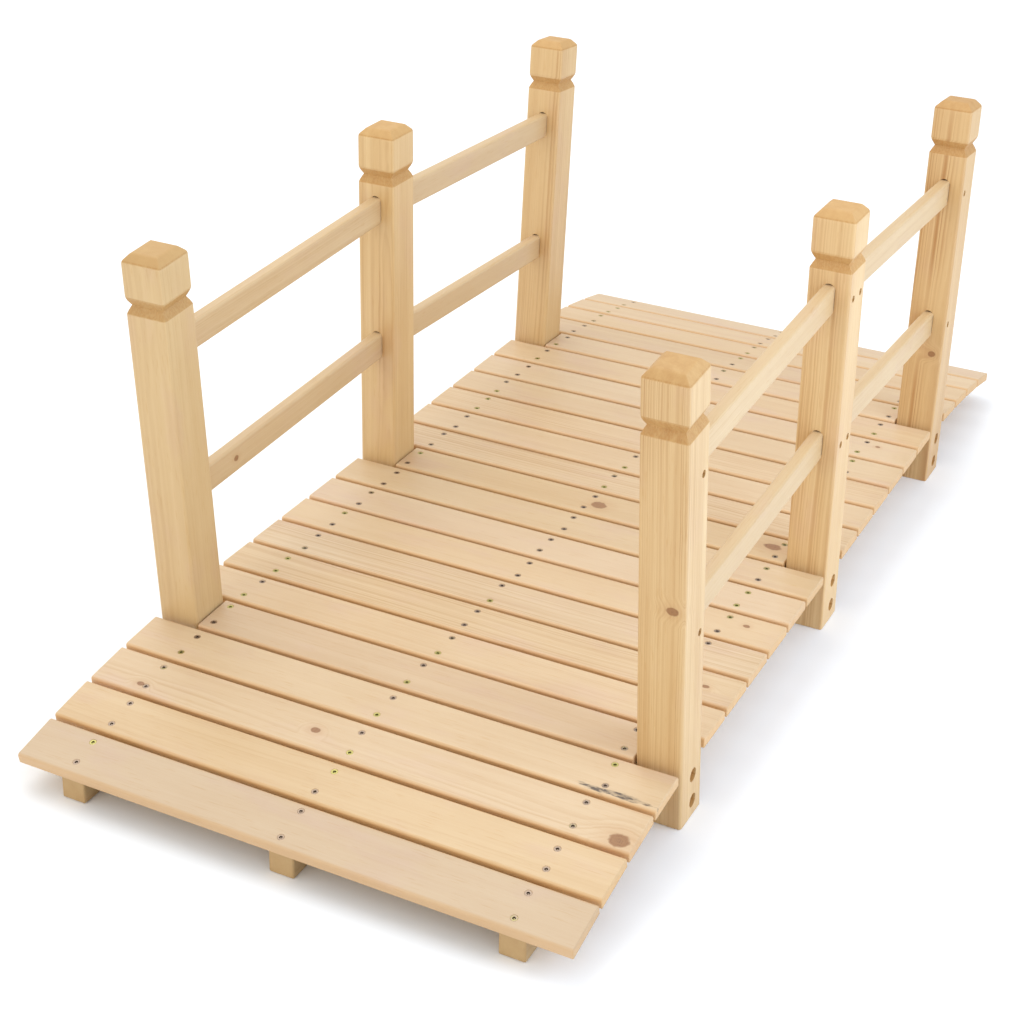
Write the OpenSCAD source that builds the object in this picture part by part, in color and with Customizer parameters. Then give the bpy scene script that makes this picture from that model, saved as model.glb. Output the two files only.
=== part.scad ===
// Timber footbridge for a garden: a low bowed deck of cross planks on three
// stringers, with three posts and two rails along each side.
// Millimetres. X runs along the bridge, Y across it, Z up.
// The origin is on the ground, under the middle of the deck.
// "Left" is +Y, walking towards +X; numbers count up towards +X.

/* [View] */
// Which sub-part to draw

/* [Deck] */
// Distance from one plank to the next, measured along the deck
plank_pitch = 65; // [60:0.5:70]
// Width of one plank
plank_w = 59.5; // [50:0.5:63]
// Thickness of one plank
plank_t = 12; // [9:0.5:20]
// Length of a full plank, which is the width of the deck
deck_w = 658; // [600:2:760]
// Radius worked on the two upper long edges of a plank
plank_round = 4; // [1:0.5:5]
// Gap left between the end of a short plank and the post beside it
short_gap = 2; // [1:0.5:5]

/* [Arch] */
// Height of the walking surface above the ground at mid-span
deck_h = 81; // [74:1:110]
// Half the length of the level middle part of the deck
arch_flat = 385; // [300:5:440]
// Radius of the falling part at each end
arch_r = 1610; // [1400:10:3000]

/* [Stringers] */
// Width of one stringer
stringer_w = 30; // [20:1:40]
// Distance from the middle of the end stringers to the end of the boards
stringer_half = 735; // [720:1:740]
// Clear height under the stringers at mid-span
under_rise = 8; // [2:1:14]
// Length standing on the ground at each end
bearing = 85; // [40:5:150]

/* [Posts] */
// Post size along the bridge
post_x = 54; // [44:1:60]
// Post size across the bridge
post_y = 52; // [40:1:60]
// Outward lean of the four end posts, in degrees
post_lean = 4.5; // [0:0.1:9]
// Height of a post above the walking surface
post_h = 463; // [400:1:520]
// Height of the cap block, from the bottom of the groove to its flat top
cap_h = 62; // [45:1:80]
// Depth of the groove below the cap
groove = 5.5; // [3:0.5:8]
// How far the top of the cap is bevelled inwards
cap_bevel = 9.5; // [4:0.5:14]
// Chamfer on the long corners of a post
post_ease = 2.5; // [1:0.5:5]

/* [Rails] */
// Rail thickness
rail_t = 15; // [10:0.5:20]
// Rail depth
rail_h = 35; // [26:1:45]
// Radius on the four long edges of a rail
rail_round = 3.5; // [1:0.5:6]
// Height of the upper rail's axis above the deck at the middle post
upper_mid = 357; // [320:1:380]
// Height of the upper rail's axis above the deck at the end posts
upper_end = 339; // [300:1:370]
// Height of the lower rail's axis above the deck at the middle post
lower_mid = 169; // [120:1:210]
// Height of the lower rail's axis above the deck at the end posts
lower_end = 151; // [110:1:200]
// Length of rail let into each post
tenon = 20; // [8:1:24]
// Play left above the rail in its mortise
play = 2; // [0.5:0.5:4]

/* [Fixings] */
// Diameter of the counterbore for a bolt head
bore_d = 16; // [10:0.5:18]
// Depth of that counterbore
bore_deep = 9; // [5:0.5:15]
// Distance of the bolts from the middle of the post, towards the far end
bolt_off = 4; // [0:0.5:8]
// Upper bolt, below the walking surface
bolt_hi = 26; // [18:1:30]
// Lower bolt, below the walking surface
bolt_lo = 60; // [45:1:64]

/* [Hidden] */
$fn = 48;
planks = 23;
middle = 12;
side_y = deck_w / 2;
inner_y = side_y - post_y;
stringer_y = inner_y - stringer_w / 2;
groove_h = 10;
post_s = 7 * plank_pitch;
shorts = [5, 12, 19];
fir = [0.87, 0.72, 0.53];
fir_warm = [0.84, 0.68, 0.47];
fir_pale = [0.90, 0.77, 0.60];
e = 0.01;

// ---- the line of the walking surface -------------------------------------
// The deck is level out to arch_flat and then falls on an arc of arch_r.
// Each function takes the distance s along the deck from mid-span.
function fall(s) = max(abs(s) - arch_flat, 0) / arch_r * 180 / PI;
function slope(s) = sign(s) * fall(s);
function deck_x(s) = sign(s) * (min(abs(s), arch_flat) + arch_r * sin(fall(s)));
function deck_z(s) = deck_h - arch_r * (1 - cos(fall(s)));
// A point h above the deck line, measured square to it.
function above(s, h) = [deck_x(s) + h * sin(slope(s)), deck_z(s) + h * cos(slope(s))];

function plank_s(i) = (i - middle) * plank_pitch;

// ---- deck planks ----------------------------------------------------------
// Cross-section: flat underneath, the two upper edges rounded over.
module plank_section() {
  r = plank_round;
  translate([-plank_w / 2, -plank_t]) square([plank_w, plank_t - r]);
  translate([-plank_w / 2 + r, -r - e]) square([plank_w - 2 * r, r + e]);
  for (sx = [-1, 1]) translate([sx * (plank_w / 2 - r), -r]) circle(r);
}

// A plank laid square across the stringers at its place on the deck line.
module plank(i) {
  len = len(search(i, shorts)) > 0 ? 2 * (inner_y - short_gap) : deck_w;
  s = plank_s(i);
  translate([deck_x(s), 0, deck_z(s)])
    rotate([0, slope(s), 0])
      rotate([90, 0, 0])
        translate([0, 0, -len / 2]) linear_extrude(len) plank_section();
}

// ---- stringers ------------------------------------------------------------
// Where the undersides of planks i and i+1 would meet if both ran on.
function seat(i) = above(plank_s(i), -plank_t);
function meet(i) =
  let (a = -slope(plank_s(i)), b = -slope(plank_s(i + 1)), p = seat(i), q = seat(i + 1),
       d = cos(a) * sin(b) - sin(a) * cos(b))
  abs(d) < 1e-9 ? (p + q) / 2
    : p + [cos(a), sin(a)] * (((q[0] - p[0]) * sin(b) - (q[1] - p[1]) * cos(b)) / d);
// Height of the end plank's underside, run on to the end of the stringer.
function end_z() = let (p = seat(planks), a = slope(plank_s(planks)))
  p[1] - (stringer_half - p[0]) * tan(a);

// One facet of the upper edge under each plank, a shallow bow underneath.
module stringer_side() {
  span = stringer_half - bearing;
  polygon(concat(
    [[-stringer_half, 0], [-stringer_half, end_z()]],
    [for (i = [1 : planks - 1]) meet(i)],
    [[stringer_half, end_z()], [stringer_half, 0]],
    [for (k = [24 : -1 : -24]) let (u = k / 24) [u * span, under_rise * (1 - u * u)]]
  ));
}

module stringer(y) {
  translate([0, y + stringer_w / 2, 0]) rotate([90, 0, 0])
    linear_extrude(stringer_w) stringer_side();
}

// ---- rails ----------------------------------------------------------------
// A point h up a post's own axis; k is -1, 0 or 1 for first, middle, last post.
function on_post(k, h) = let (a = k * post_lean)
  [deck_x(k * post_s) + h * sin(a), deck_z(k * post_s) + h * cos(a)];

function rail_mid(up) = on_post(0, up ? upper_mid : lower_mid);
function rail_end(up) = on_post(1, up ? upper_end : lower_end);

// Puts its child on the axis of a rail, running from the middle post outwards.
module rail_axis(side, bay, up) {
  p = rail_mid(up);
  q = rail_end(up);
  dir = bay == 1 ? -1 : 1;
  translate([dir * p[0], side * (side_y - post_y / 2), p[1]])
    rotate([0, 0, dir < 0 ? 180 : 0])
      rotate([0, atan2(p[1] - q[1], q[0] - p[0]), 0])
        rotate([90, 0, 90]) children();
}

module rail_section() {
  r = rail_round;
  square([rail_t - 2 * r, rail_h], center = true);
  square([rail_t, rail_h - 2 * r], center = true);
  for (sx = [-1, 1], sy = [-1, 1])
    translate([sx * (rail_t / 2 - r), sy * (rail_h / 2 - r)]) circle(r);
}

// Clear length from the middle of one post to the middle of the next.
function rail_run(up) = norm(rail_end(up) - rail_mid(up));
rail_in = post_x / 2 - tenon;

module rail(side, bay, up) {
  rail_axis(side, bay, up)
    translate([0, 0, rail_in]) linear_extrude(rail_run(up) - 2 * rail_in) rail_section();
}

// The round-ended slot a rail sits in; the rail rests on the bottom of it.
module mortise_section() {
  w = rail_t + 1;
  h = rail_h + play;
  translate([0, play / 2]) {
    square([w, h - w], center = true);
    for (sy = [-1, 1]) translate([0, sy * (h - w) / 2]) circle(w / 2);
  }
}

module mortise(side, bay, up, outer) {
  reach = tenon + 1;
  start = outer ? rail_run(up) - post_x / 2 - 20 : post_x / 2 - reach;
  rail_axis(side, bay, up)
    translate([0, 0, start]) linear_extrude(reach + 20) {
      mortise_section();
      rail_section();
    }
}

// ---- posts ----------------------------------------------------------------
// Outline of a post seen from one side, w wide: shaft, groove, cap, bevel.
module post_outline(w) {
  a = w / 2;
  z0 = -deck_h - 20;
  neck = post_h - cap_h;
  polygon([
    [-a, z0], [a, z0], [a, neck - groove_h], [a - groove, neck], [a, neck + groove_h],
    [a, post_h - cap_bevel + 1], [a - cap_bevel, post_h], [-a + cap_bevel, post_h],
    [-a, post_h - cap_bevel + 1], [-a, neck + groove_h], [-a + groove, neck],
    [-a, neck - groove_h]
  ]);
}

// The same outline worked from both sides, with the long corners eased.
module post_blank() {
  c = post_ease;
  ax = post_x / 2;
  ay = post_y / 2;
  intersection() {
    translate([0, ay + 1, 0]) rotate([90, 0, 0]) linear_extrude(post_y + 2) post_outline(post_x);
    translate([-ax - 1, 0, 0]) rotate([90, 0, 90]) linear_extrude(post_x + 2) post_outline(post_y);
    translate([0, 0, -deck_h - 30]) linear_extrude(deck_h + post_h + 40)
      polygon([[-ax + c, -ay], [ax - c, -ay], [ax, -ay + c], [ax, ay - c],
               [ax - c, ay], [-ax + c, ay], [-ax, ay - c], [-ax, -ay + c]]);
  }
}

// k is -1, 0 or 1. End posts lean outwards; every foot is cut level with the ground.
module post(side, k) {
  difference() {
    translate([deck_x(k * post_s), side * (side_y - post_y / 2), deck_z(k * post_s)])
      rotate([0, k * post_lean, 0])
        difference() {
          post_blank();
          for (h = [bolt_hi, bolt_lo])
            translate([bolt_off, side * post_y / 2, -h]) rotate([side * 90, 0, 0])
              translate([0, 0, -1]) cylinder(h = bore_deep + 1, d = bore_d);
        }
    translate([k * post_s - 100, side * side_y - 100, -60]) cube([200, 200, 60]);
    for (up = [true, false]) {
      if (k <= 0) mortise(side, 1, up, k != 0);
      if (k >= 0) mortise(side, 2, up, k != 0);
    }
  }
}

// ---- the named sub-parts --------------------------------------------------
module plank_01() { color(fir) plank(1); }
module plank_02() { color(fir_warm) plank(2); }
module plank_03() { color(fir_pale) plank(3); }
module plank_04() { color(fir_warm) plank(4); }
module plank_05() { color(fir) plank(5); }
module plank_06() { color(fir_pale) plank(6); }
module plank_07() { color(fir_warm) plank(7); }
module plank_08() { color(fir) plank(8); }
module plank_09() { color(fir_pale) plank(9); }
module plank_10() { color(fir) plank(10); }
module plank_11() { color(fir_warm) plank(11); }
module plank_12() { color(fir_pale) plank(12); }
module plank_13() { color(fir) plank(13); }
module plank_14() { color(fir_warm) plank(14); }
module plank_15() { color(fir_pale) plank(15); }
module plank_16() { color(fir) plank(16); }
module plank_17() { color(fir_pale) plank(17); }
module plank_18() { color(fir_warm) plank(18); }
module plank_19() { color(fir) plank(19); }
module plank_20() { color(fir_pale) plank(20); }
module plank_21() { color(fir_warm) plank(21); }
module plank_22() { color(fir) plank(22); }
module plank_23() { color(fir_pale) plank(23); }
module stringer_left() { color(fir_warm) stringer(stringer_y); }
module stringer_middle() { color(fir_warm) stringer(0); }
module stringer_right() { color(fir_warm) stringer(-stringer_y); }
module post_left_1() { color(fir) post(1, -1); }
module post_left_2() { color(fir) post(1, 0); }
module post_left_3() { color(fir) post(1, 1); }
module post_right_1() { color(fir) post(-1, -1); }
module post_right_2() { color(fir) post(-1, 0); }
module post_right_3() { color(fir) post(-1, 1); }
module rail_left_1_upper() { color(fir_pale) rail(1, 1, true); }
module rail_left_1_lower() { color(fir_pale) rail(1, 1, false); }
module rail_left_2_upper() { color(fir_pale) rail(1, 2, true); }
module rail_left_2_lower() { color(fir_pale) rail(1, 2, false); }
module rail_right_1_upper() { color(fir_pale) rail(-1, 1, true); }
module rail_right_1_lower() { color(fir_pale) rail(-1, 1, false); }
module rail_right_2_upper() { color(fir_pale) rail(-1, 2, true); }
module rail_right_2_lower() { color(fir_pale) rail(-1, 2, false); }

plank_01();
plank_02();
plank_03();
plank_04();
plank_05();
plank_06();
plank_07();
plank_08();
plank_09();
plank_10();
plank_11();
plank_12();
plank_13();
plank_14();
plank_15();
plank_16();
plank_17();
plank_18();
plank_19();
plank_20();
plank_21();
plank_22();
plank_23();
stringer_left();
stringer_middle();
stringer_right();
post_left_1();
post_left_2();
post_left_3();
post_right_1();
post_right_2();
post_right_3();
rail_left_1_upper();
rail_left_1_lower();
rail_left_2_upper();
rail_left_2_lower();
rail_right_1_upper();
rail_right_1_lower();
rail_right_2_upper();
rail_right_2_lower();
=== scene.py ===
"""Garden footbridge in sanded pine: boards on three bearers, six posts, eight rails.

X runs along the bridge, Y across it, Z up; metres. "Left" is +Y, walking towards +X.
"""

import math

import bpy
import numpy as np
from mathutils import Matrix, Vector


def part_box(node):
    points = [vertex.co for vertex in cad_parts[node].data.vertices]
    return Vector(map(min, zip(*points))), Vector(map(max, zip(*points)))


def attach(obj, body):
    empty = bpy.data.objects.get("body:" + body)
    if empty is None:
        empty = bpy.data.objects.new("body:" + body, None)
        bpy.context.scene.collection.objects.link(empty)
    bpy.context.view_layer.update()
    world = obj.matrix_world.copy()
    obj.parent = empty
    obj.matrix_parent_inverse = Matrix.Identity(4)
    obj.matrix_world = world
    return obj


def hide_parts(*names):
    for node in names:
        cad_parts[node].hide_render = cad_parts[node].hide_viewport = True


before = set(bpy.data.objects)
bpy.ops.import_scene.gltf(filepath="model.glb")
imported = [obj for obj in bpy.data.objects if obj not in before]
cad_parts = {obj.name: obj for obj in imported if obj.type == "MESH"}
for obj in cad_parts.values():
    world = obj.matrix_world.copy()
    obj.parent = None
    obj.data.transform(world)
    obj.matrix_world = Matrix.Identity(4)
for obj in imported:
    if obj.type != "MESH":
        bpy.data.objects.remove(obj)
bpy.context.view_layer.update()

# --- Bearers ------------------------------------------------------------------
# Three sawn pine bearers, 30 mm wide, lie on the ground under the whole deck, their upper
# edge planed to one flat under each board. The rest of the bridge is cut from the same
# timber, so its grain, rings and knots are worked out here.
MM = 0.001
BEARER_EASE, BEARER_JOIN = 2.4 * MM, 0.01 * MM
EDGE_ANGLE = 0.7


def shade(tree, kind, sockets=None, **settings):
    """Adds one shader node; sockets gives each input a value or another node's output."""
    made = tree.nodes.new("ShaderNode" + kind)
    for key, value in settings.items():
        setattr(made, key, value)
    for key, value in (sockets or {}).items():
        if isinstance(value, bpy.types.NodeSocket):
            tree.links.new(value, made.inputs[key])
        else:
            made.inputs[key].default_value = value
    return made


def calc(tree, operation, a, b=0.0, c=0.0):
    """One sum: the operation on a, b and c, each a number or a node's output."""
    return shade(tree, "Math", {0: a, 1: b, 2: c}, operation=operation).outputs[0]


def vector(tree, operation, a, b=(0, 0, 0), out=0):
    """One vector sum on a and b."""
    made = shade(tree, "VectorMath", {0: a}, operation=operation)
    if isinstance(b, bpy.types.NodeSocket):
        tree.links.new(b, made.inputs[1])
    else:
        made.inputs[1].default_value = b
    return made.outputs[out]


def ramp(tree, value, low, high, start=0.0, end=1.0):
    """Goes smoothly from start to end while value goes from low to high."""
    return shade(tree, "MapRange", {"Value": value, 1: low, 2: high, 3: start, 4: end},
                 interpolation_type="SMOOTHSTEP").outputs[0]


def noise(tree, place, scale, detail=2.0):
    """Noise from 0 to 1 with scale waves to the metre on each axis; returns value and colour."""
    made = shade(tree, "TexNoise", {"Vector": vector(tree, "MULTIPLY", place, scale),
                                    "Scale": 1.0, "Detail": detail, "Roughness": 0.55})
    return made.outputs[0], made.outputs[1]


def blend(tree, factor, a, b, mode="MIX"):
    """Colour a going over to colour b as factor goes from 0 to 1."""
    made = tree.nodes.new("ShaderNodeMix")
    made.data_type, made.blend_type = "RGBA", mode
    for index, value in ((0, factor), (6, a), (7, b)):
        if isinstance(value, bpy.types.NodeSocket):
            tree.links.new(value, made.inputs[index])
        else:
            made.inputs[index].default_value = value
    return made.outputs[2]


def tint(tree, factor, colour, by):
    """The colour multiplied by another one, as far as factor says."""
    return blend(tree, factor, colour, (*by, 1), "MULTIPLY")


def new_group(name, inputs, outputs):
    """An empty shader node group with its named sockets: (name, kind[, value]) each."""
    tree = bpy.data.node_groups.new(name, "ShaderNodeTree")
    for direction, rows in (("INPUT", inputs), ("OUTPUT", outputs)):
        for row in rows:
            made = tree.interface.new_socket(row[0], in_out=direction,
                                             socket_type="NodeSocket" + row[1])
            if len(row) > 2:
                made.default_value = row[2]
    return tree, tree.nodes.new("NodeGroupInput").outputs, tree.nodes.new("NodeGroupOutput").inputs


# Noise scales of the wood, in waves to the metre along, across and up the grain: a knot's ragged
# edge, the slow and fine bends of the rings, single fibres, streaks, blotches, flecks, where
# the figure shows, torn bundles of fibres, and the smears and breaks in resin.
RAGGED, SLOW_BENDS, FINE_BENDS = (160, 160, 160), (1.9, 3.5, 3.5), (9, 38, 38)
THREADS, STREAKS, CLOUDS = (7, 620, 620), (2.4, 95, 95), (9, 24, 24)
FLECKS, SHOWING, BUNDLES = (42, 640, 640), (3.1, 11, 11), (70, 560, 560)
SMEARS, BREAKS = (70, 330, 330), (120, 330, 330)
FINE_WANDER, TAPER, KNOT_PUSH, KNOT_RINGS = 2 * MM, 0.004, 2.6, 17.0

# A branch cut through: a dark round of end grain with a halo, which pushes the rings aside.
# Place is the point seen from the knot's middle, in knot radii. Core, halo and push fade out
# with the distance away, and the knot's own rings are a sine of it.
knot_group, into, out = new_group(
    "Knot", [("Place", "Vector"), ("Grain", "Vector")],
    [("Core", "Float"), ("Halo", "Float"), ("Push", "Float"), ("Rings", "Float")])
t = knot_group
ragged = noise(t, into["Grain"], RAGGED)[0]
away = calc(t, "ADD", vector(t, "LENGTH", into["Place"], out=1),
            calc(t, "MULTIPLY_ADD", ragged, 0.5, -0.25))
t.links.new(ramp(t, away, 0.8, 1.08, 1.0, 0.0), out["Core"])
t.links.new(ramp(t, away, 0.9, 3.0, 1.0, 0.0), out["Halo"])
t.links.new(ramp(t, away, 0.3, 4.2, 1.0, 0.0), out["Push"])
wave = calc(t, "SINE", calc(t, "MULTIPLY", away, KNOT_RINGS))
t.links.new(calc(t, "MULTIPLY_ADD", wave, 0.5, 0.5), out["Rings"])

# Growth rings: the distance from the heart of the tree, bent by noise and growing a little
# along it, counted in ring widths. Within each year pale spring wood darkens slowly into late
# wood, which ends sharply; a second noise makes the years uneven.
ring_group, into, out = new_group(
    "Growth rings",
    [("Grain", "Vector"), ("Ring Width", "Float", 3 * MM), ("Wander", "Float", 8 * MM),
     ("Push", "Float")],
    [("Late", "Float")])
t = ring_group
slow = vector(t, "SUBTRACT", noise(t, into["Grain"], SLOW_BENDS, 1.0)[1], (0.5, 0.5, 0.5))
fine = vector(t, "SUBTRACT", noise(t, into["Grain"], FINE_BENDS)[1], (0.5, 0.5, 0.5))
bent = vector(t, "ADD", into["Grain"], vector(t, "MULTIPLY", slow, shade(
    t, "CombineXYZ", {1: into["Wander"], 2: into["Wander"]}).outputs[0]))
bent = vector(t, "ADD", bent, vector(t, "MULTIPLY", fine, (0.0, FINE_WANDER, FINE_WANDER)))
from_heart = vector(t, "LENGTH", vector(t, "MULTIPLY", bent, (0, 1, 1)), out=1)
along = shade(t, "SeparateXYZ", {0: into["Grain"]}).outputs[0]
from_heart = calc(t, "MULTIPLY_ADD", along, TAPER, from_heart)
turns = calc(t, "ADD", calc(t, "DIVIDE", from_heart, into["Ring Width"]),
             calc(t, "MULTIPLY", into["Push"], KNOT_PUSH))
years = shade(t, "TexNoise", {"W": calc(t, "MULTIPLY", turns, 0.45), "Scale": 1.0, "Detail": 1.0},
              noise_dimensions="1D").outputs[0]
year = calc(t, "FRACT", calc(t, "MULTIPLY_ADD", years, 2.2, turns))
late = calc(t, "MULTIPLY", ramp(t, year, 0.3, 0.85), ramp(t, year, 0.92, 1.0, 1.0, 0.0))
t.links.new(calc(t, "MULTIPLY", late, ramp(t, years, 0.3, 0.7, 0.3, 1.0)), out["Late"])

# Sanded pine: rings, fibres, soft blotches, flecks, up to three knots and a resin streak, all in
# one colour. End is 1 where the grain is cut straight across, and Cut says how dark that is.
# The last input says, from 0 to 1, where warm painted shade goes: the sides and rounded edges of
# the boards and down the walls of the bores.
HEART_DARK, HEART_PALE = (0.15, 0.056, 0.016, 1), (0.29, 0.13, 0.045, 1)
KNOT_HALO, RESIN = (0.50, 0.27, 0.12, 1), (0.05, 0.036, 0.03, 1)
# The last of these tints is painted shade, warmer and with less blue, for the sides of the boards
# and the walls of the bores.
PINK_TINT, FLECK_TINT, PAINTED_SHADE_TINT = (0.985, 0.965, 1.04), (0.90, 0.80, 0.66), (1.08, 0.96, 0.80)
CUT_TINT, TORN_TINT = (0.82, 0.70, 0.52), (0.94, 0.88, 0.80)
pine_group, into, out = new_group(
    "Pine",
    [("Grain", "Vector"), ("Knot A", "Vector"), ("Knot B", "Vector"), ("Knot C", "Vector"),
     ("Stain", "Vector"), ("Tone", "Color", (1, 1, 1, 1)), ("Early", "Color"), ("Late", "Color"),
     ("Ring Width", "Float", 3 * MM), ("Wander", "Float", 8 * MM), ("Figure", "Float", 0.5),
     ("End", "Float"), ("Cut", "Float", 0.5), ("Side", "Float")],
    [("Color", "Color"), ("Roughness", "Float"), ("Height", "Float")])
t = pine_group
across = ramp(t, into["End"], 0.2, 0.42)
cheek = calc(t, "MULTIPLY", across, ramp(t, into["End"], 0.52, 0.62, 1.0, 0.0))
knots = [shade(t, "Group", {"Place": into["Knot " + n], "Grain": into["Grain"]},
               node_tree=knot_group).outputs for n in "ABC"]
push, core, halo, core_rings = (
    calc(t, "MAXIMUM", calc(t, "MAXIMUM", knots[0][n], knots[1][n]), knots[2][n])
    for n in ("Push", "Core", "Halo", "Rings"))
rings = shade(t, "Group", {"Grain": into["Grain"], "Ring Width": into["Ring Width"],
                           "Wander": into["Wander"], "Push": push}, node_tree=ring_group).outputs
thread = noise(t, into["Grain"], THREADS, 3.0)[0]
streak = noise(t, into["Grain"], STREAKS, 2.0)[0]
cloud, patch = noise(t, into["Grain"], CLOUDS, 3.0)
fleck = ramp(t, noise(t, into["Grain"], FLECKS, 1.0)[0], 0.60, 0.76)
shown = ramp(t, noise(t, into["Grain"], SHOWING, 1.0)[0], 0.36, 0.6, 0.3, 1.0)
long_grain = calc(t, "MULTIPLY_ADD", across, -0.92, 1.0)
figure = calc(t, "MULTIPLY", calc(t, "MULTIPLY", rings["Late"], into["Figure"]),
              calc(t, "MULTIPLY", shown, long_grain))
colour = blend(t, figure, into["Early"], into["Late"])
# Streaks, fibres and blotches make it lighter and darker, most in blue and least in red.
light = calc(t, "MULTIPLY_ADD", calc(t, "SUBTRACT", streak, 0.5),
             calc(t, "MULTIPLY_ADD", into["Figure"], 0.34, 0.12), 1.0)
light = calc(t, "MULTIPLY_ADD", calc(t, "SUBTRACT", thread, 0.5),
             calc(t, "MULTIPLY_ADD", into["Figure"], 0.16, 0.08), light)
light = calc(t, "MULTIPLY_ADD", calc(t, "SUBTRACT", cloud, 0.5), 0.16, light)
colour = blend(t, 1.0, colour, shade(t, "CombineXYZ", {
    0: calc(t, "POWER", light, 0.6), 1: light, 2: calc(t, "POWER", light, 1.5)}).outputs[0],
    "MULTIPLY")
# Pinkish patches, dark flecks, the piece's own tone, painted warm shade on the board sides and in
# the bores, and knots go over that.
pink = ramp(t, shade(t, "SeparateXYZ", {0: patch}).outputs[1], 0.5, 0.72)
colour = tint(t, calc(t, "MULTIPLY", pink, long_grain), colour, PINK_TINT)
colour = tint(t, calc(t, "MULTIPLY", fleck, calc(t, "MULTIPLY", long_grain, 0.5)), colour,
              FLECK_TINT)
colour = blend(t, 1.0, colour, into["Tone"], "MULTIPLY")
# Painted shade: a warmer tint with less blue where the last input says, standing in for the shade
# in the gaps between boards and in the bores.
colour = tint(t, into["Side"], colour, PAINTED_SHADE_TINT)
colour = blend(t, calc(t, "MULTIPLY", halo, 0.24), colour, KNOT_HALO)
heartwood = blend(t, core_rings, HEART_DARK, HEART_PALE)
colour = blend(t, calc(t, "MULTIPLY", core, 0.88), colour, heartwood)
# Sawn across, the ends of the fibres are evenly golden; on the cheek of a groove they tear.
cut = tint(t, calc(t, "MULTIPLY", calc(t, "MULTIPLY", across, into["Cut"]),
                    calc(t, "MULTIPLY_ADD", cheek, 0.1, 0.9)), colour, CUT_TINT)
bundle = ramp(t, noise(t, into["Grain"], BUNDLES, 2.0)[0], 0.42, 0.60)
torn = calc(t, "MULTIPLY", calc(t, "MULTIPLY", cheek, into["Cut"]),
            calc(t, "MULTIPLY_ADD", bundle, -1.0, 1.0))
colour = tint(t, torn, cut, TORN_TINT)
# Resin lies over everything, smeared along the grain and broken up.
smear = calc(t, "MULTIPLY_ADD", noise(t, into["Grain"], SMEARS, 3.0)[0], 1.5,
             vector(t, "LENGTH", into["Stain"], out=1))
broken = ramp(t, noise(t, into["Grain"], BREAKS, 3.0)[0], 0.38, 0.62, 0.35, 1.0)
resin = calc(t, "MULTIPLY", ramp(t, smear, 1.3, 1.75, 0.9, 0.0), broken)
colour = blend(t, resin, colour, RESIN)
t.links.new(colour, out["Color"])
# Cut ends are rougher; fibres, late wood and torn bundles stand a little proud.
dry = calc(t, "MULTIPLY_ADD", thread, 0.12, 0.38)
t.links.new(calc(t, "MULTIPLY_ADD", across, 0.2, dry), out["Roughness"])
rough_cut = calc(t, "MULTIPLY", calc(t, "MULTIPLY", bundle, cheek), 2.5)
t.links.new(calc(t, "ADD", calc(t, "MULTIPLY_ADD", thread, 0.6, rough_cut),
                 calc(t, "MULTIPLY_ADD", rings["Late"], 0.3, calc(t, "MULTIPLY", streak, 0.5))),
            out["Height"])

# Where a piece has no knot or stain, its place is this many radii from one.
FAR_AWAY = (60.0, 60.0, 60.0)
BEARER_HEART = (3.0, 21 * MM, 45 * MM)
SANDED_GLOSS, GRAIN_RELIEF = 0.55, 0.5 * MM


def pine(name, early, late, ring_width, wander, fibres, cut, figure=None):
    """Sanded pine. Grain, knots and figure come from the piece's own attributes, or, where a
    figure is given, the grain is its place in the bridge. Fibres is the way the grain runs, and
    cut says how dark it is where it is cut across."""
    made = bpy.data.materials.new(name)
    made.use_nodes = True
    t = made.node_tree
    surface = t.nodes["Principled BSDF"]
    sockets = {"Early": (*early, 1), "Late": (*late, 1), "Ring Width": ring_width,
               "Wander": wander, "Cut": cut}
    if figure is None:
        for socket, attribute in (("Grain", "grain"), ("Knot A", "knot_a"), ("Knot B", "knot_b"),
                                  ("Knot C", "knot_c"), ("Stain", "stain"), ("Tone", "tone")):
            sockets[socket] = shade(t, "Attribute", attribute_name=attribute).outputs["Vector"]
        for socket, attribute in (("Figure", "figure"), ("Side", "sawn_and_painted_shade")):
            sockets[socket] = shade(t, "Attribute", attribute_name=attribute).outputs["Fac"]
    else:
        place = shade(t, "TexCoord").outputs["Object"]
        sockets["Grain"] = vector(t, "ADD", place, BEARER_HEART)
        sockets.update({n: FAR_AWAY for n in ("Knot A", "Knot B", "Knot C", "Stain")})
        sockets["Figure"] = figure
    facing = vector(t, "DOT_PRODUCT", shade(t, "NewGeometry").outputs["Normal"], fibres, out=1)
    sockets["End"] = calc(t, "ABSOLUTE", facing)
    grain = shade(t, "Group", sockets, node_tree=pine_group).outputs
    t.links.new(grain["Color"], surface.inputs["Base Color"])
    t.links.new(grain["Roughness"], surface.inputs["Roughness"])
    surface.inputs["Specular IOR Level"].default_value = SANDED_GLOSS
    bump = shade(t, "Bump", {"Height": grain["Height"], "Strength": 0.3,
                             "Distance": GRAIN_RELIEF})
    t.links.new(bump.outputs[0], surface.inputs["Normal"])
    return made


sawn_and_painted_shade = pine("sawn_pine", (0.49, 0.335, 0.16), (0.36, 0.20, 0.075), 3.4 * MM, 8 * MM, (1, 0, 0),
            0.4, figure=0.3)
for name in ("stringer_left", "stringer_middle", "stringer_right"):
    bearer = bpy.data.objects.new(name + "_timber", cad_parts[name].data.copy())
    bpy.context.scene.collection.objects.link(bearer)
    bearer.data.materials.clear()
    bearer.data.materials.append(sawn_and_painted_shade)
    weld = bearer.modifiers.new("joined", "WELD")
    weld.merge_threshold = BEARER_JOIN
    ease = bearer.modifiers.new("eased", "BEVEL")
    ease.width, ease.segments = BEARER_EASE, 3
    ease.limit_method, ease.angle_limit = "ANGLE", EDGE_ANGLE
    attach(bearer, "root")
    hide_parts(name)

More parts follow.
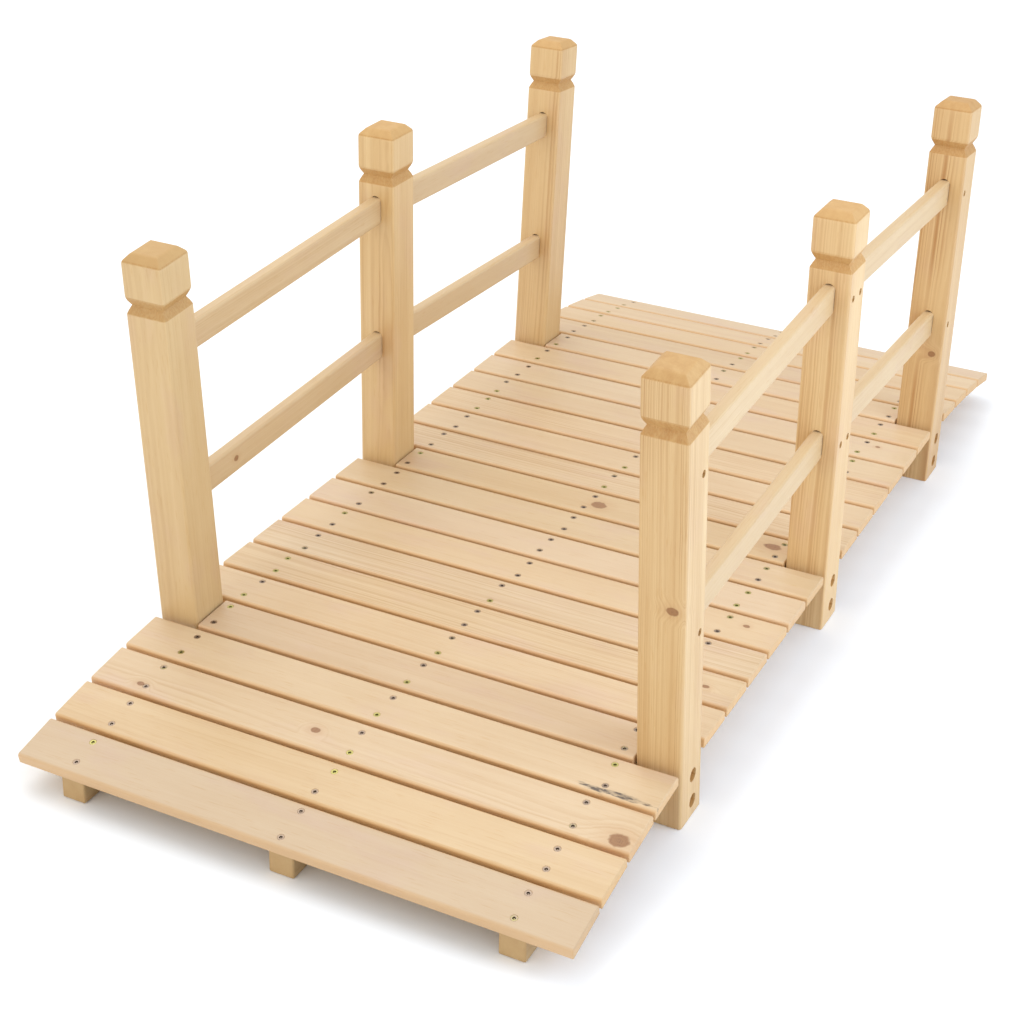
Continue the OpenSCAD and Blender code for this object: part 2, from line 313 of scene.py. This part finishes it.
# --- Deck boards ----------------------------------------------------------------
# Twenty-three sanded pine boards, 59.5 x 12 mm, 5.5 mm apart, their two upper edges rounded
# over and their ends eased. The 5th, 12th and 19th are short, to fit between the posts.
# Six countersunk screws hold each board down, two to a bearer.
BOARD_HALF_WIDE = 29.75 * MM
BOARD_ROUND, BOARD_EASE, END_EASE = 3.5 * MM, 0.6 * MM, 0.8 * MM
SCREW_ROWS, SCREW_APART = (262 * MM, 1 * MM, -261 * MM), 17 * MM
SCREW_STRAY_ALONG, SCREW_STRAY_ACROSS = 1.4 * MM, 1.3 * MM
# A countersink: its radius at the top, its depth, the radius of its floor, and how far its
# cutter stands proud of the board.
SINK_TOP, SINK_DEEP, SINK_FLOOR, SINK_PROUD = 4.6 * MM, 3.7 * MM, 1.6 * MM, 0.5 * MM
SMOOTH_BELOW = math.radians(38)
chance = np.random.default_rng(23)


def side_view(node):
    """Middle, direction and size of a straight piece in the X-Z plane: the direction is the one
    its corners spread most along, the middle lies halfway between its ends and its edges."""
    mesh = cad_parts[node].data
    points = np.empty(len(mesh.vertices) * 3)
    mesh.vertices.foreach_get("co", points)
    points = points.reshape(-1, 3)[:, (0, 2)]
    _, spread = np.linalg.eigh(np.cov((points - points.mean(0)).T))
    far = spread[:, 1] * np.sign(spread[0, 1])
    turned = points @ np.array([far, [-far[1], far[0]]]).T
    low, high = turned.min(0), turned.max(0)
    middle = (low + high) / 2 @ np.array([far, [-far[1], far[0]]])
    return middle, far, high - low


def rounded(half_wide, half_high, radii, steps=5):
    """Outline of a section, counted round from its lower left corner: four quarter circles,
    corner + radius * (cos a, sin a), a growing by a right angle each. Also its outward normals."""
    points, normals = [], []
    corners = ((-1, -1), (1, -1), (1, 1), (-1, 1))
    for (sx, sy), radius, start in zip(corners, radii, (180, 270, 0, 90)):
        angle = np.radians(start + np.linspace(0, 90, steps + 1))
        normal = np.stack([np.cos(angle), np.sin(angle)], -1)
        centre = np.array([sx * (half_wide - radius), sy * (half_high - radius)])
        points.append(centre + radius * normal)
        normals.append(normal)
    return np.concatenate(points), np.concatenate(normals)


def skin(name, rings):
    """Joins rings of equal count into one closed skin: point j of ring i, its neighbour j + 1 and
    the same two of ring i + 1 make a face, and the first and last rings are filled."""
    count, around = rings.shape[:2]
    grid = np.arange(count * around).reshape(count, around)
    beside = np.roll(grid, -1, axis=1)
    quads = np.stack([grid[:-1], beside[:-1], beside[1:], grid[1:]], -1).reshape(-1, 4)
    mesh = bpy.data.meshes.new(name)
    mesh.from_pydata(rings.reshape(-1, 3).tolist(), [],
                     quads.tolist() + [grid[0, ::-1].tolist(), grid[-1].tolist()])
    made = bpy.data.objects.new(name, mesh)
    bpy.context.scene.collection.objects.link(made)
    return made


def stick(name, outline, normals, half_long, ease, centre, axes):
    """A straight piece: the outline carried along its length from -half_long to half_long, drawn
    in by ease at each end, with two more stations a third of the way out from the middle. Axes
    are the rows along, across and up."""
    stations = np.array([[-half_long, ease], [-half_long + ease, 0], [-half_long * 0.33, 0],
                         [half_long * 0.33, 0], [half_long - ease, 0], [half_long, ease]])
    across = outline[None] - stations[:, 1, None, None] * normals[None]
    far = np.broadcast_to(stations[:, 0, None, None], across[..., :1].shape)
    return skin(name, centre + np.concatenate([far, across], -1) @ axes)


def bored(blank, tools):
    """The blank with each tool's shape taken out of it; the tools are used up."""
    for tool in tools:
        cut = blank.modifiers.new("cut", "BOOLEAN")
        cut.operation, cut.solver, cut.object = "DIFFERENCE", "EXACT", tool
    ready = blank.evaluated_get(bpy.context.evaluated_depsgraph_get())
    mesh = bpy.data.meshes.new_from_object(ready)
    blank.modifiers.clear()
    blank.data = mesh
    for tool in tools:
        bpy.data.objects.remove(tool)


def in_radii(local, patch):
    """Place seen from a patch's middle, in its radii; far away where there is no patch."""
    if patch is None:
        return np.broadcast_to(FAR_AWAY, local.shape)
    return (local - np.array(patch[:3]) * MM) / (np.array(patch[3:]) * MM)


def finish_timber(made, centre, axes, heart, tone, figure, knots, painted_shade_part, material, node,
                  stain=None):
    """Gives a piece its grain: each point's place along, across and up the piece, measured from
    the heart of its tree, its place in radii from up to three knots, its tone and figure, and how
    much painted shade it gets, which the function passed for that works out from the place."""
    mesh = made.data
    points = np.empty(len(mesh.vertices) * 3)
    mesh.vertices.foreach_get("co", points)
    local = (points.reshape(-1, 3) - centre) @ axes.T
    fields = {"grain": local + heart, "tone": np.broadcast_to(tone, local.shape),
              "stain": in_radii(local, stain)}
    for letter, knot in zip("abc", list(knots) + [None] * 3):
        fields["knot_" + letter] = in_radii(local, knot)
    for key, values in fields.items():
        field = mesh.attributes.new(key, "FLOAT_VECTOR", "POINT")
        field.data.foreach_set("vector", np.ascontiguousarray(values, dtype=np.float32).ravel())
    for key, values in (("figure", np.full(len(local), figure)), ("sawn_and_painted_shade", painted_shade_part(local))):
        field = mesh.attributes.new(key, "FLOAT", "POINT")
        field.data.foreach_set("value", values.astype(np.float32))
    mesh.polygons.foreach_set("use_smooth", np.ones(len(mesh.polygons), bool))
    mesh.set_sharp_from_angle(angle=SMOOTH_BELOW)
    mesh.materials.clear()
    mesh.materials.append(material)
    flat = made.modifiers.new("even", "WEIGHTED_NORMAL")
    flat.keep_sharp = True
    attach(made, "root")
    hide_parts(node)


def cone(name, centre, axes, rings, around=20):
    """A turned shape: circles of the given (height, radius) pairs about the axis up."""
    angle = np.linspace(0, 2 * math.pi, around, endpoint=False)
    circle = np.stack([np.cos(angle), np.sin(angle)], -1)
    rings = np.array(rings)
    flat = rings[:, 1, None, None] * circle[None]
    rise = np.broadcast_to(rings[:, 0, None, None], flat[..., :1].shape)
    return skin(name, centre + np.concatenate([flat, rise], -1) @ axes)


def painted_shade_on_board_edges(local):
    """Boards' painted shade: 0 on the sanded top, growing to 1 over the rounded edges, 1 below
    them.
    """
    outside = np.abs(local[:, 1]) - (BOARD_HALF_WIDE - BOARD_ROUND)
    return np.clip(outside / BOARD_ROUND, 0, 1)


# Knots and a streak of resin: middle along, across and up, then the radius each way, in
# millimetres.
BOARD_KNOTS = {
    3: [(-312, 17, 0, 12, 9.5, 60), (270, 16, 0, 5, 3.6, 60), (51, 1.5, 0, 6, 4.4, 60)],
    7: [(-292, 2, 0, 5.5, 3.4, 60)],
    9: [(-287, -7, 0, 4.5, 3.5, 60)],
    12: [(-13, 2, 0, 11, 8.5, 60), (-249, -3, 0, 12, 7.5, 60)],
    17: [(-279, -10, 0, 3.6, 3, 60)],
}
BOARD_STAINS = {4: (-282, 23.5, 0, 54, 5, 60)}
BOARD_FIGURES = {3: 0.4, 7: 0.55, 8: 0.6, 13: 0.6, 15: 0.5}
BOARD_TONES = {1: (0.88, 0.89, 0.93), 2: (1.0, 1.0, 0.97), 4: (1.0, 0.99, 0.96),
               5: (0.97, 0.96, 0.98), 7: (1.0, 1.0, 0.98), 10: (0.99, 1.0, 1.05),
               11: (1.0, 0.99, 0.95), 12: (0.97, 0.95, 0.88)}
sanded = pine("sanded_boards", (0.63, 0.46, 0.275), (0.48, 0.29, 0.13), 3.6 * MM, 18 * MM,
              (0, 1, 0), 0.35)
screws = []
for index in range(1, 24):
    node = f"plank_{index:02d}"
    low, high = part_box(node)
    middle, far, size = side_view(node)
    centre = np.array([middle[0], (low[1] + high[1]) / 2, middle[1]])
    axes = np.array([[0, 1, 0], [-far[0], 0, -far[1]], [-far[1], 0, far[0]]])
    outline, normals = rounded(size[0] / 2, size[1] / 2,
                               (BOARD_EASE, BOARD_EASE, BOARD_ROUND, BOARD_ROUND))
    board = stick(node + "_board", outline, normals, (high[1] - low[1]) / 2, END_EASE,
                  centre, axes)
    sinks = []
    for row in SCREW_ROWS:
        for side in (-1, 1):
            spot = np.array([row + chance.normal(0, SCREW_STRAY_ALONG),
                             side * SCREW_APART + chance.normal(0, SCREW_STRAY_ACROSS),
                             size[1] / 2])
            place = centre + spot @ axes
            sinks.append(cone("sink", place, axes,
                              [(-SINK_DEEP, SINK_FLOOR), (SINK_PROUD, SINK_TOP)]))
            screws.append((place, axes))
    bored(board, sinks)
    # Each board has its own stretch of a tree, whose heart lies below it and to one side; a warm
    # one has less green and much less blue.
    heart = np.array([index * 1.7, chance.uniform(-70, 70) * MM, chance.uniform(25, 75) * MM])
    warm = chance.normal(0, 1)
    tone = np.array([1.0, 1.0 - 0.008 * warm, 1.0 - 0.025 * warm]) * (1 + chance.normal(0, 0.014))
    figure = 0.08 + 0.3 * chance.beta(1.2, 2.5)
    finish_timber(board, centre, axes, heart, tone * BOARD_TONES.get(index, (1, 1, 1)),
                  BOARD_FIGURES.get(index, figure), BOARD_KNOTS.get(index, []), painted_shade_on_board_edges,
                  sanded, node, BOARD_STAINS.get(index))

# --- Posts -----------------------------------------------------------------------
# Six planed pine posts, 54 x 52 mm, with a V groove and a bevelled top for a cap and every
# foot cut level; the end ones lean outwards. Each is bolted to a bearer through two
# counterbores in its outer side and has a milled mortise and a pinning screw for each rail.
LEAN = math.radians(4.5)
POST_HALF = np.array([27, 26]) * MM
POST_HIGH, CAP_HIGH, CAP_BEVEL = 463 * MM, 62 * MM, 9.5 * MM
GROOVE, GROOVE_HALF, CORNER = 5.5 * MM, 10 * MM, 3.2 * MM
BORE_RADIUS, BORE_DEEP, BORE_OFF, BORES = 8 * MM, 9 * MM, 4 * MM, (26 * MM, 60 * MM)
PIN_RADIUS, PIN_DEEP, PIN_OFF = 4.3 * MM, 5.5 * MM, 13 * MM
RAIL_HALF = np.array([7.5, 17.5]) * MM
SLOT_WIDER, SLOT_HIGHER, SLOT_DEEPER, SLOT_LONG = 0.5 * MM, 2 * MM, 1 * MM, 34 * MM
# The cap reaches out furthest a little above the foot of its bevel.
BROW_UP, FOOT_EASE, LEAST_CORNER = 1 * MM, 0.9 * MM, 0.7 * MM
# Torn fibres: mean and greatest depth; then, in millimetres, the range of their lengths and of
# how far below the groove they start.
TEAR_MEAN, TEAR_MOST, TEAR_LENGTHS, TEAR_STARTS = 0.16 * MM, 0.6 * MM, (1.5, 5.0), (3.0, 10.0)
TEAR_INWARDS = 0.7
# A bore's cutter starts proud of the face. Points within a margin of its wall get painted shade,
# growing over one fade below the face; deeper than four fades there is no bore.
BORE_PROUD, WALL_MARGIN, WALL_FADE, WALL_FADES = 2 * MM, 0.2 * MM, 3 * MM, 4
# The bays that each post of a side stands in.
BAYS = {1: (1,), 2: (1, 2), 3: (2,)}
# Knots: middle along, across and up, then the radius each way, in millimetres.
POST_KNOTS = {"post_right_1": [(197, -27, -12, 5, 14, 7)],
              "post_right_3": [(108, -27, -12, 4.5, 14, 6)]}
POST_FIGURES = {"post_left_1": 0.2, "post_left_2": 0.5, "post_left_3": 0.5,
                "post_right_1": 1.0, "post_right_2": 0.45, "post_right_3": 0.8}
POST_TONES = {"post_left_1": (0.95, 0.98, 1.04), "post_left_3": (0.98, 0.97, 0.97),
              "post_right_1": (0.98, 0.97, 0.99), "post_right_2": (1.03, 1.02, 1.04),
              "post_right_3": (0.93, 0.88, 0.84)}
neck = POST_HIGH - CAP_HIGH
# Height up the post against how far its faces are cut in: the V groove, whose edges and bottom
# are slightly rounded, then the bevel of the cap with its rounded brow and nearly flat top.
PROFILE = np.array([
    [neck - GROOVE_HALF - 0.5 * MM, 0], [neck - GROOVE_HALF + 0.5 * MM, 0.35 * MM],
    [neck - 0.7 * MM, GROOVE - 0.4 * MM], [neck, GROOVE], [neck + 0.7 * MM, GROOVE - 0.4 * MM],
    [neck + GROOVE_HALF - 1.4 * MM, 0.8 * MM], [neck + GROOVE_HALF + 1.4 * MM, 0],
    [POST_HIGH - CAP_BEVEL - 2.6 * MM, 0], [POST_HIGH - CAP_BEVEL - 0.9 * MM, 0.25 * MM],
    [POST_HIGH - CAP_BEVEL + 0.6 * MM, 0.95 * MM], [POST_HIGH - CAP_BEVEL + 1.9 * MM, 1.95 * MM],
    [POST_HIGH - 1.6 * MM, CAP_BEVEL - 1.8 * MM], [POST_HIGH - 0.9 * MM, CAP_BEVEL - 0.8 * MM],
    [POST_HIGH - 0.25 * MM, CAP_BEVEL + 0.8 * MM], [POST_HIGH, CAP_BEVEL + 2.4 * MM]])
# The rings of points up a post lie close together at the groove, where the fibres tear.
HEIGHTS = np.unique(np.concatenate([
    np.linspace(0, neck - 2 * GROOVE_HALF, 7), PROFILE[:, 0],
    np.linspace(neck - GROOVE_HALF - 4 * MM, neck + GROOVE_HALF + 2 * MM, 27),
    np.linspace(neck + GROOVE_HALF + 4 * MM, POST_HIGH - CAP_BEVEL - 4 * MM, 4)]))
POST_STEPS, CORNER_STEPS = 34, 6


def square_ring(inset, radius):
    """Section of a post cut in by inset: four straight sides of evenly spaced points with
    rounded corners between them, counted round anticlockwise."""
    half = POST_HALF - inset
    radius = max(radius - inset, LEAST_CORNER)
    sides = []
    for k in range(4):
        wide, deep = (half[1], half[0]) if k % 2 == 0 else (half[0], half[1])
        run = np.linspace(-(wide - radius), wide - radius, POST_STEPS)
        line = np.stack([np.full_like(run, deep), run], -1)
        bend = np.radians(np.linspace(0, 90, CORNER_STEPS))[1:-1]
        arc = np.stack([deep - radius + radius * np.cos(bend),
                        wide - radius + radius * np.sin(bend)], -1)
        turn = np.array([[math.cos(k * math.pi / 2), math.sin(k * math.pi / 2)],
                         [-math.sin(k * math.pi / 2), math.cos(k * math.pi / 2)]])
        sides.append(np.concatenate([line, arc]) @ turn)
    return np.concatenate(sides)


around = len(square_ring(0, CORNER))
section = np.stack([square_ring(inset, CORNER)
                    for inset in np.interp(HEIGHTS, PROFILE[:, 0], PROFILE[:, 1])])
sections_up = np.broadcast_to(HEIGHTS[:, None, None], section[..., :1].shape)
planed = pine("planed_posts", (0.66, 0.455, 0.215), (0.42, 0.20, 0.055), 2.5 * MM, 7 * MM,
              (0, 0, 1), 1.0)
bolts, pins = [], []
for side in ("left", "right"):
    for number in (1, 2, 3):
        node = f"post_{side}_{number}"
        k = number - 2
        low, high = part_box(node)
        # The post's axis is found from its box: an end post's brow and foot touch its two sides.
        lean = LEAN * k
        brow = POST_HIGH - CAP_BEVEL + BROW_UP
        out_by = POST_HALF[0] * math.cos(LEAN) + brow * math.sin(LEAN)
        foot_x = ((low[0] + high[0]) / 2 if k == 0 else
                  high[0] - out_by if k > 0 else low[0] + out_by)
        foot_z = (high[2] - POST_HIGH * math.cos(lean)
                  - (POST_HALF[0] - CAP_BEVEL) * math.sin(abs(lean)))
        centre = np.array([foot_x, (low[1] + high[1]) / 2, foot_z])
        axes = np.array([[math.sin(lean), 0, math.cos(lean)],
                         [math.cos(lean), 0, -math.sin(lean)], [0, 1, 0]])
        body = np.concatenate([sections_up, section], -1).copy()
        # Torn fibres on the lower cheek of the groove: each column of points is a bundle of
        # fibres, pulled out by its own depth and length.
        pull = np.minimum(chance.exponential(TEAR_MEAN, around), TEAR_MOST)
        length = chance.uniform(*TEAR_LENGTHS, around) * MM
        start = neck - chance.uniform(*TEAR_STARTS, around) * MM
        bite = pull * np.clip(1 - np.abs(HEIGHTS[:, None] - start) / length, 0, 1)
        body[..., 1:] -= bite[..., None] * np.sign(body[..., 1:]) * TEAR_INWARDS
        # The foot: a ring at the ground and one just above it, both level.
        feet = []
        for up, inset in ((0.0, FOOT_EASE), (FOOT_EASE, 0.0)):
            ring = square_ring(inset, CORNER)
            rise = (up - foot_z + ring[:, 0] * math.sin(lean)) / math.cos(lean)
            feet.append(np.concatenate([rise[:, None], ring], -1))
        post = skin(node + "_timber", centre + np.concatenate([np.stack(feet), body]) @ axes)
        # A hole is bored from its face inwards: its axes run along, then down or up, then out.
        outward = 1 if side == "left" else -1
        outer = np.array([[1, 0, 0], [0, 0, -outward], [0, outward, 0]])
        holes = [(-deep, BORE_OFF, BORE_RADIUS, BORE_DEEP) for deep in BORES]
        bolts += [(centre + np.array([-deep, BORE_OFF, outward * POST_HALF[1]]) @ axes, outer)
                  for deep in BORES]
        tools = []
        for bay in BAYS[number]:
            for level in ("upper", "lower"):
                rail = f"rail_{side}_{bay}_{level}"
                middle, far, size = side_view(rail)
                rail_low, rail_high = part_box(rail)
                half = size[0] / 2
                heading = 1 if middle[0] < foot_x else -1
                outline = rounded(RAIL_HALF[0] + SLOT_WIDER, RAIL_HALF[1] + SLOT_HIGHER / 2,
                                  (RAIL_HALF[0] + SLOT_WIDER,) * 4, 8)[0]
                rail_axes = np.array([[far[0], 0, far[1]], [0, 1, 0], [-far[1], 0, far[0]]])
                ends = sorted([heading * (half + SLOT_DEEPER), heading * (half - SLOT_LONG)])
                run = np.array([[end, 0, SLOT_HIGHER / 2] for end in ends])
                flat = np.concatenate([np.zeros((len(outline), 1)), outline * [-1, 1]], -1)[::-1]
                where = np.array([middle[0], (rail_low[1] + rail_high[1]) / 2, middle[1]])
                tools.append(skin("slot", where + (run[:, None] + flat[None]) @ rail_axes))
                # The pin goes through the tenon: where the rail's axis is PIN_OFF from the post's.
                begin, step = (where - centre) @ axes.T, rail_axes[0] @ axes.T
                spot = begin + step * (-heading * PIN_OFF - begin[1]) / step[1]
                holes.append((spot[0], spot[1], PIN_RADIUS, PIN_DEEP))
                pins.append((centre + np.array([spot[0], spot[1], outward * POST_HALF[1]]) @ axes,
                             outer))
        for up, off, radius, deep in holes:
            face = centre + np.array([up, off, outward * POST_HALF[1]]) @ axes
            tools.append(cone("bore", face, outer, [(-deep, radius), (BORE_PROUD, radius)], 28))
        bored(post, tools)

        def painted_shade_in_bores(local):
            """Posts' painted shade: 0 on the planed faces, growing inwards down the walls of the
            bores.
            """
            inwards = (POST_HALF[1] - outward * local[:, 2]) / WALL_FADE
            near = [np.hypot(local[:, 0] - up, local[:, 1] - off) < radius + WALL_MARGIN
                    for up, off, radius, _ in holes]
            return np.where(np.any(near, axis=0) & (inwards < WALL_FADES), inwards, 0.0)

        # Each post has its own stretch of a tree; the heart lies outside it, so no pith shows.
        heart = np.array([number * 2.3 + (5 if side == "left" else 11),
                          chance.uniform(35, 75) * MM * chance.choice([-1, 1]),
                          chance.uniform(10, 60) * MM])
        tone = np.array(POST_TONES.get(node, (1, 1, 1))) * (1 + chance.normal(0, 0.008))
        finish_timber(post, centre, axes, heart, tone, POST_FIGURES[node],
                      POST_KNOTS.get(node, []), painted_shade_in_bores, planed, node)

# --- Rails -------------------------------------------------------------------------
# Eight smoothly planed pine rails, 35 x 15 mm, two to each bay, with rounded edges. They are
# let 20 mm into the posts' mortises and fall gently from the middle post to the end ones.
RAIL_ROUND, RAIL_EASE = 3.5 * MM, 1 * MM
RAIL_KNOTS = {"rail_left_1_lower": [(-132, -7.5, 1, 5, 12, 4)]}
smooth = pine("smooth_rails", (0.61, 0.435, 0.235), (0.45, 0.265, 0.11), 2.6 * MM, 5 * MM,
              (1, 0, 0), 0.5)
for side in ("left", "right"):
    for bay in (1, 2):
        for level in ("upper", "lower"):
            node = f"rail_{side}_{bay}_{level}"
            low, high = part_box(node)
            middle, far, size = side_view(node)
            centre = np.array([middle[0], (low[1] + high[1]) / 2, middle[1]])
            axes = np.array([[far[0], 0, far[1]], [0, 1, 0], [-far[1], 0, far[0]]])
            outline, normals = rounded(RAIL_HALF[0], RAIL_HALF[1], (RAIL_ROUND,) * 4, 6)
            rail = stick(node + "_timber", outline, normals, size[0] / 2, RAIL_EASE, centre, axes)
            heart = np.array([chance.uniform(20, 30), chance.uniform(30, 60) * MM,
                              chance.uniform(-60, 60) * MM])
            tone = np.ones(3) * (1 + chance.normal(0, 0.012))
            finish_timber(rail, centre, axes, heart, tone, chance.uniform(0.1, 0.3),
                          RAIL_KNOTS.get(node, []),
                          lambda local: np.zeros(len(local)), smooth, node)

# --- Screws and bolts --------------------------------------------------------------
# Countersunk screws in zinc, some still yellow, with a cross recess, hold the boards down
# and pin the rail ends; darker bolts sit at the bottom of the counterbores.
HEAD_RADIUS, HEAD_BELOW = 3.9 * MM, 0.5 * MM
BOLT_RADIUS, BOLT_BELOW, PIN_BELOW = 6.4 * MM, 6.2 * MM, 3.6 * MM
# Near black, painted in the cross recess as its shade.
RECESS_PAINTED_SHADE = (0.015, 0.012, 0.01, 1)
FILM, FILM_RELIEF = (420, 420, 420), 0.3 * MM
# Each ring of a head: radius, then depth in the arms of the cross and between them, all in
# shares of the head's radius.
HEAD_RINGS = np.array([[0.10, 0.42, 0.42], [0.24, 0.42, 0.03], [0.46, 0.36, 0.015],
                       [0.52, 0.01, 0.01], [0.95, 0.0, 0.0], [1.0, 0.07, 0.07], [0.8, 0.3, 0.3]])


def screw_heads(name, spots, radius, below, material):
    """Countersunk heads: rings about each axis, pushed down by the cross recess where the angle
    lies within one of its four arms. All are one mesh."""
    angle = np.radians((np.array([-15, 15, 45]) + 90 * np.arange(4)[:, None]).ravel())
    arm = np.tile([True, True, False], 4)
    depth = np.where(arm, HEAD_RINGS[:, 1, None], HEAD_RINGS[:, 2, None])
    head = np.stack([HEAD_RINGS[:, :1] * np.cos(angle), HEAD_RINGS[:, :1] * np.sin(angle),
                     -depth], -1) * radius
    recess = ((depth > 0.3) & (HEAD_RINGS[:, :1] < 0.5)).ravel()
    grid = np.arange(depth.size).reshape(depth.shape)
    beside = np.roll(grid, -1, 1)
    quads = np.stack([grid[:-1], grid[1:], beside[1:], beside[:-1]], -1).reshape(-1, 4)
    points, faces, coat = [], [], []
    for number, (place, axes) in enumerate(spots):
        spin = chance.uniform(0, math.pi / 2)
        turn = np.array([[math.cos(spin), math.sin(spin), 0], [-math.sin(spin), math.cos(spin), 0],
                         [0, 0, 1]])
        points.append(place + (head.reshape(-1, 3) @ turn - np.array([0, 0, below])) @ axes)
        start = number * depth.size
        faces += (quads + start).tolist()
        faces += [(grid[0] + start).tolist(), (grid[-1, ::-1] + start).tolist()]
        coat.append(np.full(depth.size, chance.uniform(0, 1)))
    mesh = bpy.data.meshes.new(name)
    mesh.from_pydata(np.concatenate(points).tolist(), [], faces)
    for key, values in (("coat", np.concatenate(coat)), ("recess", np.tile(recess, len(spots)))):
        mesh.attributes.new(key, "FLOAT", "POINT").data.foreach_set(
            "value", values.astype(np.float32))
    mesh.materials.append(material)
    made = bpy.data.objects.new(name, mesh)
    bpy.context.scene.collection.objects.link(made)
    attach(made, "root")


def zinc(name, bright, dull):
    """Passivated zinc: a yellow film of uneven thickness over grey metal, with near-black shade
    painted in the cross recess.
    """
    made = bpy.data.materials.new(name)
    made.use_nodes = True
    t = made.node_tree
    surface = t.nodes["Principled BSDF"]
    place = shade(t, "TexCoord").outputs["Object"]
    film = noise(t, place, FILM)[0]
    coat = shade(t, "Attribute", attribute_name="coat").outputs["Fac"]
    recess = shade(t, "Attribute", attribute_name="recess").outputs["Fac"]
    thick = ramp(t, calc(t, "ADD", coat, calc(t, "MULTIPLY_ADD", film, 0.5, -0.25)), 0.42, 0.66)
    metal = blend(t, thick, (*dull, 1), (*bright, 1))
    # Painted shade: the cross recess goes near black.
    t.links.new(blend(t, ramp(t, recess, 0.1, 0.6), metal, RECESS_PAINTED_SHADE),
                surface.inputs["Base Color"])
    t.links.new(calc(t, "MULTIPLY_ADD", film, 0.25, 0.25), surface.inputs["Roughness"])
    surface.inputs["Metallic"].default_value = 0.85
    bump = shade(t, "Bump", {"Height": film, "Strength": 0.3, "Distance": FILM_RELIEF})
    t.links.new(bump.outputs[0], surface.inputs["Normal"])
    return made


screw_heads("deck_screws", screws, HEAD_RADIUS, HEAD_BELOW,
            zinc("zinc_screws", (0.44, 0.40, 0.14), (0.33, 0.25, 0.19)))
screw_heads("rail_pins", pins, HEAD_RADIUS, PIN_BELOW,
            zinc("zinc_pins", (0.40, 0.33, 0.16), (0.26, 0.19, 0.14)))
screw_heads("post_bolts", bolts, BOLT_RADIUS, BOLT_BELOW,
            zinc("zinc_bolts", (0.42, 0.36, 0.22), (0.30, 0.22, 0.16)))

# --- Floor, light and camera ------------------------------------------------------------
# A plain pale floor under a bright, even studio sky, with a low cool light on the right, a
# warm one far off on the left and a large white one overhead.
FLOOR_HALF, FLOOR_PAPER = 40, (0.93, 0.955, 0.975, 1)
SKY_STRENGTH = 0.98
FOCAL_LENGTH, SENSOR_WIDTH, LENS_SHIFT = 71.371, 36, -0.20703
# The way the camera looks, in degrees round and above the bridge, and its tilt; then how far
# right, up and back of the floor's middle it stands, and how much it is raised.
LOOK_ROUND, LOOK_ABOVE, LOOK_TILT = -63.331, 22.551, 1.002
EYE_RIGHT, EYE_UP, EYE_BACK, EYE_RAISED = -0.101858, 0.261997, 2.630821, 0.081
floor_mesh = bpy.data.meshes.new("floor")
floor_mesh.from_pydata([(FLOOR_HALF * x, FLOOR_HALF * y, 0)
                        for x, y in ((-1, -1), (1, -1), (1, 1), (-1, 1))], [], [(0, 1, 2, 3)])
floor = bpy.data.objects.new("floor", floor_mesh)
bpy.context.scene.collection.objects.link(floor)
paper = bpy.data.materials.new("pale_floor")
paper.use_nodes = True
paper_surface = paper.node_tree.nodes["Principled BSDF"]
paper_surface.inputs["Base Color"].default_value = FLOOR_PAPER
paper_surface.inputs["Roughness"].default_value = 0.9
paper_surface.inputs["Specular IOR Level"].default_value = 0.1
floor_mesh.materials.append(paper)

world = bpy.data.worlds.new("studio")
bpy.context.scene.world = world
world.use_nodes = True
world.node_tree.nodes["Background"].inputs["Color"].default_value = (1, 1, 1, 1)
world.node_tree.nodes["Background"].inputs["Strength"].default_value = SKY_STRENGTH


def face_along(made, right, up, back, place):
    """Turns a lamp or camera so that its own X, Y and Z run right, up and back, and moves it."""
    made.matrix_world = Matrix([[*row, p] for row, p in zip(np.stack([right, up, back], 1), place)]
                               + [[0, 0, 0, 1]])


def soft_box(name, place, aim, size, power, colour=(1, 1, 1)):
    """A square area light of the given size at place, facing aim."""
    lamp = bpy.data.lights.new(name, "AREA")
    lamp.shape, lamp.size, lamp.energy, lamp.color = "SQUARE", size, power, colour
    made = bpy.data.objects.new(name, lamp)
    back = np.array(place, float) - np.array(aim, float)
    back /= np.linalg.norm(back)
    right = np.cross((0, 0, 1), back)
    right /= np.linalg.norm(right)
    face_along(made, right, np.cross(back, right), back, place)
    bpy.context.scene.collection.objects.link(made)


soft_box("right_box", (-0.2, -1.7, 1.0), (0, -0.2, 0.25), 1.3, 13, (0.78, 0.96, 1.26))
soft_box("left_box", (-5.0, 1.0, 2.0), (0, 0, 0.25), 3.0, 30, (1.25, 1.0, 0.70))
soft_box("top_box", (0.6, 1.6, 3.6), (0, 0, 0.1), 3.0, 50)

camera = bpy.data.cameras.new("camera")
camera.sensor_width, camera.lens, camera.shift_y = SENSOR_WIDTH, FOCAL_LENGTH, LENS_SHIFT
azimuth, elevation, roll = (math.radians(v) for v in (LOOK_ROUND, LOOK_ABOVE, LOOK_TILT))
back = np.array([math.sin(azimuth) * math.cos(elevation), -math.cos(azimuth) * math.cos(elevation),
                 math.sin(elevation)])
level = np.array([math.cos(azimuth), math.sin(azimuth), 0])
upright = np.cross(back, level)
right = math.cos(roll) * level + math.sin(roll) * upright
up = -math.sin(roll) * level + math.cos(roll) * upright
eye = EYE_RIGHT * right + EYE_UP * up + EYE_BACK * back + np.array([0, 0, EYE_RAISED])
viewer = bpy.data.objects.new("camera", camera)
face_along(viewer, right, up, back, eye)
camera.clip_start, camera.clip_end = 0.05, 200
bpy.context.scene.collection.objects.link(viewer)
bpy.context.scene.camera = viewer
bpy.context.scene.view_settings.view_transform = "Standard"
